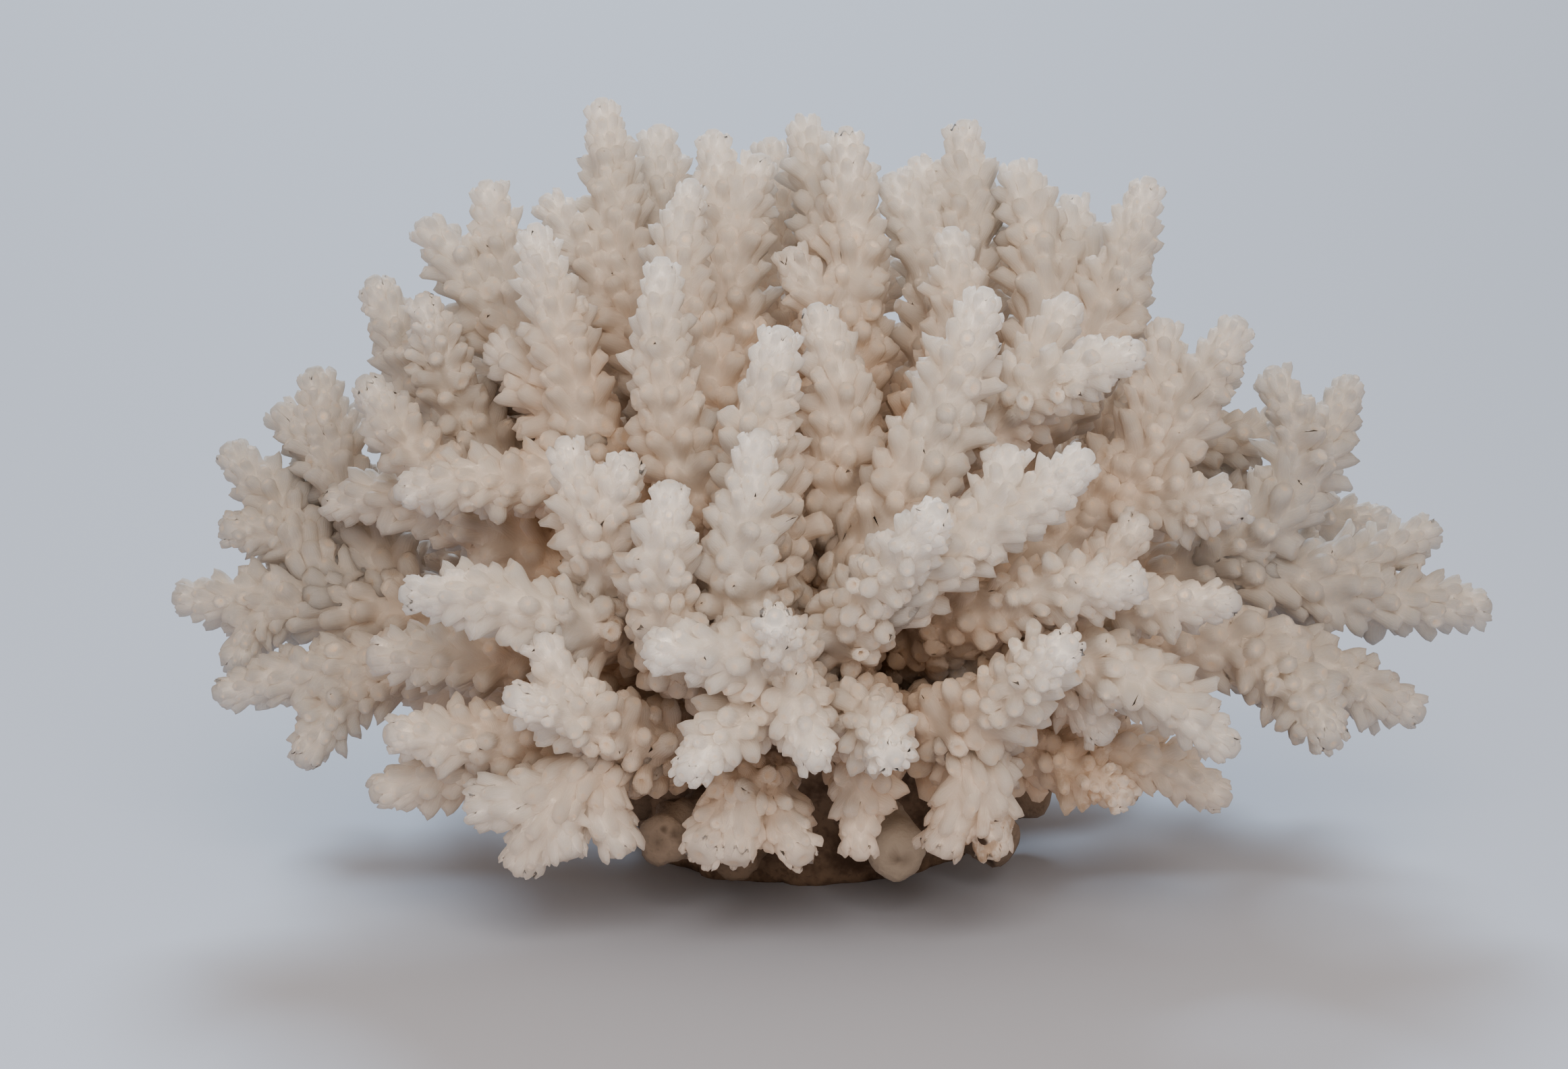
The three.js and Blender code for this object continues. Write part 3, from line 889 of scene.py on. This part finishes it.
    def close_root(self):
        low_edge, quarters = self.edge(LOW_EDGE, 0)
        radius = float(self.radius_at(np.array(0.0)))
        rings = []
        for length, extra in ((0.0, -radius * (1 - ROOT_NARROWING)), (self.row_lengths[0] * 0.55, -0.2)):
            lengths = np.full(len(quarters), length)
            ring, _, _ = self.on_core(lengths, self.angle_of(quarters, lengths), extra)
            rings.append(self.surface.add_points(ring, hollow=0.8))
        middle = self.surface.add_points(self.line.centre[0], hollow=0.8)
        self.surface.join(rings[0], rings[1])
        self.surface.join(rings[1], low_edge)
        self.surface.close(rings[0][::-1], middle)

    def close_tip(self):
        """The cup at the tip, blunt and ribbed."""
        ring, quarters = self.edge(HIGH_EDGE, len(self.row_lengths) - 1)
        end = self.line.length
        centre, tangent, normal, binormal = self.line.frame(np.array(end))
        angles = self.angle_of(quarters, np.full(len(quarters), end))
        outward = normal * np.cos(angles)[:, None] + binormal * np.sin(angles)[:, None]
        size = AXIAL_RADIUS * self.rng.uniform(0.9, 1.12) * self.stoutness * self.tip_radius / TIP_RADIUS
        ribs = 1 + 0.04 * np.cos(np.arange(len(quarters)) * np.pi)
        profile = [
            # below the tip, radius, in a cup
            (1.5, 1.0, 0.0),
            (0.5, 0.97, 0.0),
            (-0.2, 0.8, 0.0),
            (-0.5, 0.52, 0.0),
            (-0.4, 0.28, 0.3),
        ]
        for below, radius, calice in profile:
            rough = ribs + self.rng.normal(0, 0.03, len(quarters))
            points = centre - tangent * below + outward * (size * radius * rough)[:, None]
            following = self.surface.add_points(points, hollow=0.3 * calice, calice=calice, tip=1.0)
            self.surface.join(ring, following)
            ring = following
        self.surface.close(ring, self.surface.add_points(centre - tangent * 0.2, calice=1.0, tip=1.0))


def rough_skin(points, outward, seed):
    """Lumps and pits of the old foot: the moved points, and how deep in a pit each one is."""
    moved = []
    pits = []
    for point, out in zip(points, outward):
        place = Vector(point) + Vector((seed, 0, 0))
        lumps = noise.fractal(place / LUMP_SIZE, 1.0, 2.1, 3) * LUMP_HEIGHT
        grains = noise.fractal(place / GRAIN_SIZE, 0.8, 2.2, 3) * GRAIN_HEIGHT
        nearest = noise.voronoi(place / PIT_SPACING)[0][0]
        pit = smooth_step((PIT_REACH - nearest) / PIT_EDGE)
        moved.append(point + out * (lumps + grains - PIT_DEPTH * pit))
        pits.append(pit)
    return np.array(moved), np.array(pits)


def crown_surface():
    """The old foot: a lumpy, pitted dome on the flat cut, with blunt stubs of dead branches."""
    surface = Surface()
    heights, radii = np.array(CROWN_PROFILE, float).T
    steps = np.linspace(0, heights[-1], CROWN_RINGS)
    around = np.arange(CROWN_AROUND) / CROWN_AROUND * 2 * np.pi
    directions = np.stack([np.cos(around), np.sin(around) * CROWN_DEPTH_SHARE, 0 * around], -1)
    rings = []
    for height in steps:
        radius = np.interp(height, heights, radii)
        points = np.array([*CROWN_CENTRE, height]) + directions * radius
        moved, pits = rough_skin(points, directions, 0)
        moved[:, 2] = height
        rings.append(surface.add_points(moved, hollow=1.0, calice=pits))
    rings = np.array(rings)
    surface.join(rings[:-1], rings[1:])
    surface.close(rings[-1], surface.add_points(np.array([*CROWN_CENTRE, heights[-1]]), hollow=1.0))
    surface.close(rings[0][::-1], surface.add_points(np.array([*CROWN_CENTRE, 0.0]), hollow=1.0))
    for seed, (*end, pale) in enumerate(STUB_ENDS, 1):
        add_stub(surface, np.array(end, float), seed, pale)
    return surface


def add_stub(surface, end, seed, pale):
    """A blunt, broken stub with a rounded, pitted end."""
    root = np.array([*CROWN_CENTRE, STUB_ROOT_HEIGHT], float)
    along = unit(end - root)
    across = unit(np.cross(along, (0, 0, 1)))
    upward = np.cross(across, along)
    angles = np.arange(STUB_AROUND) / STUB_AROUND * 2 * np.pi
    outward = across * np.cos(angles)[:, None] - upward * np.sin(angles)[:, None]
    reach = np.linalg.norm(end - root)
    shares = np.linspace(STUB_START, 1, STUB_RINGS)
    sections = [(share * reach, 1 - (1 - STUB_NARROWING) * share) for share in shares]
    sections += [(reach + 1.0, STUB_NARROWING * 0.8), (reach + 1.6, STUB_NARROWING * 0.45)]
    rings = []
    for length, narrow in sections:
        knobs = 1 + STUB_KNOBS * noise.noise(Vector((length / KNOB_SIZE, seed * 9.0, 0.0)))
        points = root + along * length + outward * STUB_RADIUS * narrow * knobs
        moved, pits = rough_skin(points, outward * narrow, seed * 40.0)
        moved[:, 2] = np.maximum(moved[:, 2], STUB_LOWEST)
        rings.append(surface.add_points(moved, hollow=1.0, calice=pits, tip=pale))
    rings = np.array(rings)
    surface.join(rings[:-1], rings[1:])
    middle = root + along * (reach + 1.4)
    surface.close(rings[-1], surface.add_points(middle, hollow=1.0, calice=0.6, tip=pale))
    surface.close(rings[0][::-1], surface.add_points(root + along * shares[0] * reach, hollow=1.0))


class Nodes:
    """A material's node tree, built from the shader back."""

    def __init__(self, name):
        self.material = bpy.data.materials.new(name)
        self.material.use_nodes = True
        self.tree = self.material.node_tree
        self.shader = self.tree.nodes["Principled BSDF"]

    def add(self, kind, inputs, output=0, **settings):
        """Adds a node and returns one of its outputs. Inputs are values or other nodes' outputs."""
        node = self.tree.nodes.new("ShaderNode" + kind)
        for name, value in settings.items():
            setattr(node, name, value)
        for key, value in inputs.items():
            self.feed(node.inputs[key], value)
        return node.outputs[output]

    def feed(self, socket, value):
        if isinstance(value, bpy.types.NodeSocket):
            self.tree.links.new(value, socket)
        else:
            socket.default_value = value

    def attribute(self, name):
        return self.add("Attribute", {}, "Fac", attribute_name=name)

    def math(self, operation, *values):
        return self.add("Math", dict(enumerate(values)), operation=operation)

    def mix(self, share, low, high):
        node = self.tree.nodes.new("ShaderNodeMix")
        node.data_type = "RGBA"
        for index, value in ((0, share), (6, low), (7, high)):
            self.feed(node.inputs[index], value)
        return node.outputs[2]

    def noise(self, place, scale, detail=3.0, roughness=0.55):
        inputs = {"Vector": place, "Scale": scale, "Detail": detail, "Roughness": roughness}
        return self.add("TexNoise", inputs, "Fac")

    def ramp(self, value, start, end):
        inputs = {"Value": value, "From Min": start, "From Max": end}
        return self.add("MapRange", inputs, interpolation_type="SMOOTHSTEP")


# Where the colours change, in metres: from the heart of the coral, to the side, and in height
HEART = (-0.004, 0.0, 0.015)
HEART_STRETCH = (0.85, 1.15, 1.0)
INNER_RANGE = (0.104, 0.045)  # the deep tan, mostly painted shade of the inner branches and partly their own less bleached colour, begins, and is full
SIDE_SHADE_RANGE = (0.035, 0.085)  # painted shade: grey on the side arms, which stand further from the fill light, begins, and is full
FOOT_RANGE = (0.014, 0.03)  # the foot's browns, its own colour darkened with painted shade near the floor, begin to fade into tan, and have nearly gone

TIP_WHITE = (0.61, 0.585, 0.555, 1)
LIP_CREAM = (0.51, 0.47, 0.425, 1)
# painted shade of the side arms, further from the fill light
SIDE_SHADE_GREY = (0.32, 0.31, 0.295, 1)
# painted shade of the valleys between cups, and the colour of the fine specks
SHADE_AND_SPECK_TAN = (0.52, 0.42, 0.33, 1)
# mostly painted shade deep inside the colony, partly its own less bleached colour
DEEP_TAN_AND_SHADE = (0.55, 0.385, 0.26, 1)
# painted shade inside the cups' openings
CUP_SHADE_OCHRE = (0.6, 0.42, 0.27, 1)
OLD_BROWN = (0.34, 0.22, 0.13, 1)
# painted shade of holes and pits
HOLE_SHADE_BROWN = (0.05, 0.028, 0.016, 1)
# the foot's own browns, darkened with painted shade, as it lies in shadow near the floor
FOOT_TAN_AND_SHADE = (0.27, 0.18, 0.12, 1)
FOOT_BROWN_AND_SHADE = (0.095, 0.055, 0.034, 1)
STUB_TAN = (0.47, 0.37, 0.28, 1)


def paint_hole_shade(nodes, place, colour, holes):
    """The colour with dark spots of painted shade at the holes, each one x, y, z and radius in
    millimetres.
    """
    for x, y, z, radius in holes:
        hole = tuple((np.array((x, y, z)) + SHIFT) * MM)
        away = nodes.add("VectorMath", {0: place, 1: hole}, "Value", operation="DISTANCE")
        dark = nodes.ramp(away, (radius + 0.4) * MM, (radius - 0.3) * MM)
        colour = nodes.mix(dark, colour, HOLE_SHADE_BROWN)
    return colour


def skeleton_colour(nodes, place):
    """White tips, cream branches and old brown patches, with painted shade: grey side arms, tan between
    cups and in their openings, deep tan inside, partly the skeleton's own less bleached colour, and dark
    spots at the holes.
    """
    centred = nodes.add("VectorMath", {0: place, 1: HEART}, operation="SUBTRACT")
    scaled = nodes.add("VectorMath", {0: centred, 1: HEART_STRETCH}, operation="MULTIPLY")
    distance = nodes.add("VectorMath", {0: scaled}, "Value", operation="LENGTH")
    inner_tan_and_shade = nodes.ramp(distance, *INNER_RANGE)
    across = nodes.add("SeparateXYZ", {0: centred}, "X")
    side_shade = nodes.ramp(nodes.math("ABSOLUTE", across), *SIDE_SHADE_RANGE)
    colour = nodes.mix(nodes.attribute("tip"), LIP_CREAM, TIP_WHITE)
    # painted shade: the side arms greyer, as they stand further from the fill light
    colour = nodes.mix(nodes.math("MULTIPLY", side_shade, 0.75), colour, SIDE_SHADE_GREY)
    grain = nodes.ramp(nodes.noise(place, 900.0, 3.0), 0.2, 0.75)
    # painted shade: tan in the valleys between cups, where shade falls
    valley_shade = nodes.math("MULTIPLY", nodes.attribute("hollow"), 0.4)
    colour = nodes.mix(nodes.math("MULTIPLY", valley_shade, grain), colour, SHADE_AND_SPECK_TAN)
    # less of the deep tan where the side arms are already grey with painted shade
    off_side_shade = nodes.math("SUBTRACT", 1.0, nodes.math("MULTIPLY", side_shade, 0.7))
    # deep tan inside: mostly painted shade of the deep gaps, partly the skeleton's own less bleached
    # colour
    sheltered = nodes.math("MULTIPLY", inner_tan_and_shade, off_side_shade)
    patches = nodes.ramp(nodes.noise(place, 45.0, 2.0), 0.1, 0.65)
    colour = nodes.mix(nodes.math("MULTIPLY", sheltered, patches), colour, DEEP_TAN_AND_SHADE)
    # painted shade: ochre deep inside each cup's opening
    calice = nodes.math("MULTIPLY", nodes.attribute("calice"), 0.6)
    colour = nodes.mix(calice, colour, CUP_SHADE_OCHRE)
    specks = nodes.ramp(nodes.noise(place, 1700.0, 2.0, 0.6), 0.4, 0.75)
    colour = nodes.mix(nodes.math("MULTIPLY", specks, 0.22), colour, SHADE_AND_SPECK_TAN)
    blotches = nodes.ramp(nodes.noise(place, 420.0, 3.0), 0.42, 0.62)
    dirty = nodes.math("MULTIPLY", nodes.attribute("stain"), blotches)
    colour = nodes.mix(nodes.math("MULTIPLY", dirty, 0.75), colour, OLD_BROWN)
    return paint_hole_shade(nodes, place, colour, HOLES)


def skeleton_relief(nodes, place):
    """Fine ribs on the cups, and pores."""
    ribs = nodes.math("SINE", nodes.math("MULTIPLY", nodes.attribute("rib"), 6 * math.pi))
    pores = nodes.noise(place, 2600.0, 2.0, 0.7)
    relief = nodes.math("ADD", nodes.math("MULTIPLY", ribs, 0.25), pores)
    return nodes.add("Bump", {"Strength": 0.35, "Distance": 0.00025, "Height": relief})


def skeleton_material():
    nodes = Nodes("coral_skeleton")
    place = nodes.add("TexCoord", {}, "Object")
    shader = nodes.shader
    nodes.feed(shader.inputs["Base Color"], skeleton_colour(nodes, place))
    nodes.feed(shader.inputs["Normal"], skeleton_relief(nodes, place))
    shader.inputs["Roughness"].default_value = 0.7
    shader.inputs["Specular IOR Level"].default_value = 0.3
    shader.subsurface_method = "BURLEY"
    shader.inputs["Subsurface Weight"].default_value = 1.0
    shader.inputs["Subsurface Radius"].default_value = (1.0, 0.9, 0.8)
    shader.inputs["Subsurface Scale"].default_value = 0.0045
    return nodes.material


def foot_material():
    nodes = Nodes("old_foot")
    place = nodes.add("TexCoord", {}, "Object")
    pit = nodes.attribute("calice")
    patches = nodes.ramp(nodes.noise(place, 110.0, 4.0, 0.6), 0.42, 0.62)
    specks = nodes.ramp(nodes.noise(place, 700.0, 3.0, 0.6), 0.5, 0.68)
    colour = nodes.mix(patches, FOOT_TAN_AND_SHADE, FOOT_BROWN_AND_SHADE)
    colour = nodes.mix(nodes.math("MULTIPLY", specks, 0.5), colour, FOOT_BROWN_AND_SHADE)
    height = nodes.add("SeparateXYZ", {0: place}, "Z")
    # painted shade: the foot darkest near the floor, fading into the deep tan higher up
    colour = nodes.mix(nodes.math("MULTIPLY", nodes.ramp(height, *FOOT_RANGE), 0.85), colour, DEEP_TAN_AND_SHADE)
    colour = nodes.mix(nodes.attribute("tip"), colour, STUB_TAN)
    # painted shade in the pits of the foot
    colour = nodes.mix(nodes.math("MULTIPLY", pit, 0.7), colour, HOLE_SHADE_BROWN)
    colour = paint_hole_shade(nodes, place, colour, STUB_HOLES)
    bump = nodes.add("Bump", {"Strength": 0.6, "Distance": 0.0005, "Height": nodes.noise(place, 1400.0)})
    nodes.feed(nodes.shader.inputs["Base Color"], colour)
    nodes.feed(nodes.shader.inputs["Normal"], bump)
    nodes.shader.inputs["Roughness"].default_value = 0.85
    nodes.shader.inputs["Specular IOR Level"].default_value = 0.25
    return nodes.material


def put_in_scene(surface, name, material):
    mesh = surface.mesh(name + "_form")
    mesh.materials.append(material)
    piece = bpy.data.objects.new(name + "_grown", mesh)
    bpy.context.scene.collection.objects.link(piece)
    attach(piece, "root")
    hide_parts(name)


def grow_all(material):
    lines = {}
    jobs = []
    for limb in LIMBS:
        lines[limb["name"]] = Line([limb["root"], *limb["path"]])
        jobs.append((limb, LIMB_BARE_ROOT))
    for fork in FORKS:
        lines[fork["name"]] = side_line(lines[fork["parent"]], fork["at"], fork["path"])
        jobs.append((fork, FORK_BARE_ROOT))
    for seed, (branch, bare_root) in enumerate(jobs):
        rng = np.random.default_rng(seed)
        surface = Surface()
        line = lines[branch["name"]]
        blunt = branch.get("blunt", False)
        Growth(surface, line, CUPS_AROUND, bare_root, rng, blunt)
        for share, *tip in branch.get("twigs", []):
            Growth(surface, side_line(line, share, [tip]), TWIG_CUPS_AROUND, FORK_BARE_ROOT, rng, blunt)
        put_in_scene(surface, branch["name"], material)


def make_stage():
    mesh = bpy.data.meshes.new("floor_sheet")
    reach = FLOOR_REACH
    corners = [(-reach, -reach, 0), (reach, -reach, 0), (reach, reach, 0), (-reach, reach, 0)]
    mesh.from_pydata(corners, [], [(0, 1, 2, 3)])
    material = bpy.data.materials.new("floor_paper")
    material.use_nodes = True
    shader = material.node_tree.nodes["Principled BSDF"]
    shader.inputs["Base Color"].default_value = FLOOR_COLOUR
    shader.inputs["Roughness"].default_value = 0.7
    mesh.materials.append(material)
    floor = bpy.data.objects.new("floor", mesh)
    bpy.context.scene.collection.objects.link(floor)


def aim(light, name, place):
    """Puts a light in the scene, turned to the coral's middle."""
    lamp = bpy.data.objects.new(name, light)
    lamp.location = place
    towards = Vector(LIGHTS_AIM) - Vector(place)
    lamp.rotation_euler = towards.to_track_quat("-Z", "Y").to_euler()
    bpy.context.scene.collection.objects.link(lamp)


def make_lights():
    """Cool daylight from behind, with the warm light of the room on the front."""
    world = bpy.data.worlds.new("room")
    world.use_nodes = True
    background = world.node_tree.nodes["Background"]
    background.inputs["Color"].default_value = ROOM_COLOUR
    background.inputs["Strength"].default_value = ROOM_STRENGTH
    bpy.context.scene.world = world
    daylight = bpy.data.lights.new("daylight", "SUN")
    daylight.energy = DAYLIGHT_STRENGTH
    daylight.angle = DAYLIGHT_SPREAD
    daylight.color = DAYLIGHT_COLOUR
    aim(daylight, "daylight", DAYLIGHT_FROM)
    fill = bpy.data.lights.new("fill", "AREA")
    fill.shape = "DISK"
    fill.size = FILL_SIZE
    fill.energy = FILL_POWER
    fill.color = FILL_COLOUR
    aim(fill, "fill", FILL_FROM)


def make_camera():
    camera = bpy.data.cameras.new("view")
    camera.lens = LENS_MM
    camera.sensor_width = 36
    camera.clip_start = 0.01
    piece = bpy.data.objects.new("camera", camera)
    target = (np.array(VIEW_TARGET) + SHIFT) * MM
    back = VIEW_DISTANCE * MM
    piece.location = target + (0, -back * math.cos(VIEW_ELEVATION), back * math.sin(VIEW_ELEVATION))
    piece.rotation_euler = (math.pi / 2 - VIEW_ELEVATION, 0, 0)
    bpy.context.scene.collection.objects.link(piece)
    bpy.context.scene.camera = piece


make_camera()
make_stage()
make_lights()
grow_all(skeleton_material())
put_in_scene(crown_surface(), "crown", foot_material())
